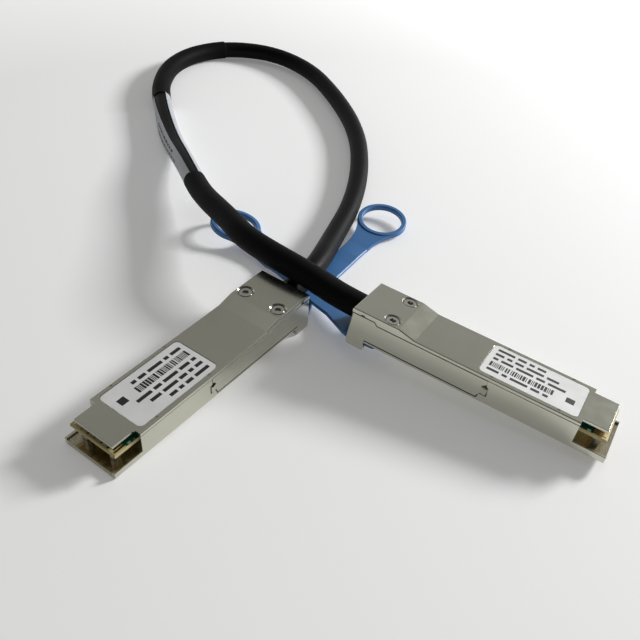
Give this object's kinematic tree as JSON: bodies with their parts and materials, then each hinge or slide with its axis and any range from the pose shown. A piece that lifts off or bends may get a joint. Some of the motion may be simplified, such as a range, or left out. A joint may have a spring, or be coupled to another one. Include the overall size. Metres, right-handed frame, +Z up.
{
  "type": "direct attach copper cable",
  "caption": "Direct attach copper cable: two die-cast pluggable connectors with spring latch slides and ring pull tabs, joined by one looped black twinax cable.",
  "frame": {"origin": "on the table, under the middle of the two connectors and their pull tabs", "axes": "+Z up from the table; +X along the longest extent, from connector A's nose towards connector B's nose; +Y towards the cable's loop"},
  "size_m": [0.1749, 0.2695, 0.0196],
  "materials": {
    "nickel": "satin",
    "steel": "satin",
    "tab": "satin",
    "board": "gloss",
    "gold": "gloss",
    "chip": "matte",
    "wire": "satin",
    "braid": "satin",
    "label": "matte",
    "jacket": "satin",
    "wrap": "matte"
  },
  "bodies": {
    "root": {"top_cover_a": "nickel", "bottom_shell_a": "nickel", "return_springs_a": "steel", "paddle_card_a": "board", "contact_pads_a": "gold", "card_parts_a": "chip", "twinax_pairs_a": "wire", "shield_braid_a": "braid", "crimp_ferrule_a": "steel", "cover_screws_a": "steel", "plug_label_a": "label", "top_cover_b": "nickel", "bottom_shell_b": "nickel", "return_springs_b": "steel", "paddle_card_b": "board", "contact_pads_b": "gold", "card_parts_b": "chip", "twinax_pairs_b": "wire", "shield_braid_b": "braid", "crimp_ferrule_b": "steel", "cover_screws_b": "steel", "plug_label_b": "label", "cable": "jacket", "cable_label": "wrap", "cable_sleeve": "jacket"},
    "latch_a": {"latch_slide_a": "steel", "pull_tab_a": "tab"},
    "latch_b": {"latch_slide_b": "steel", "pull_tab_b": "tab"}
  },
  "joints": [
    {"name": "latch_a_travel", "type": "slide", "parent": "root", "child": "latch_a", "axis": [0.5497, 0.8346, 0.0365], "range_m": [0, 0.0028], "stiffness_N_per_m": 600, "springref_m": -0.002, "deforming": ["return_springs_a"]},
    {"name": "latch_b_travel", "type": "slide", "parent": "root", "child": "latch_b", "axis": [-0.8881, 0.4543, 0.0698], "range_m": [0, 0.0028], "stiffness_N_per_m": 600, "springref_m": -0.002, "deforming": ["return_springs_b"]}
  ]
}
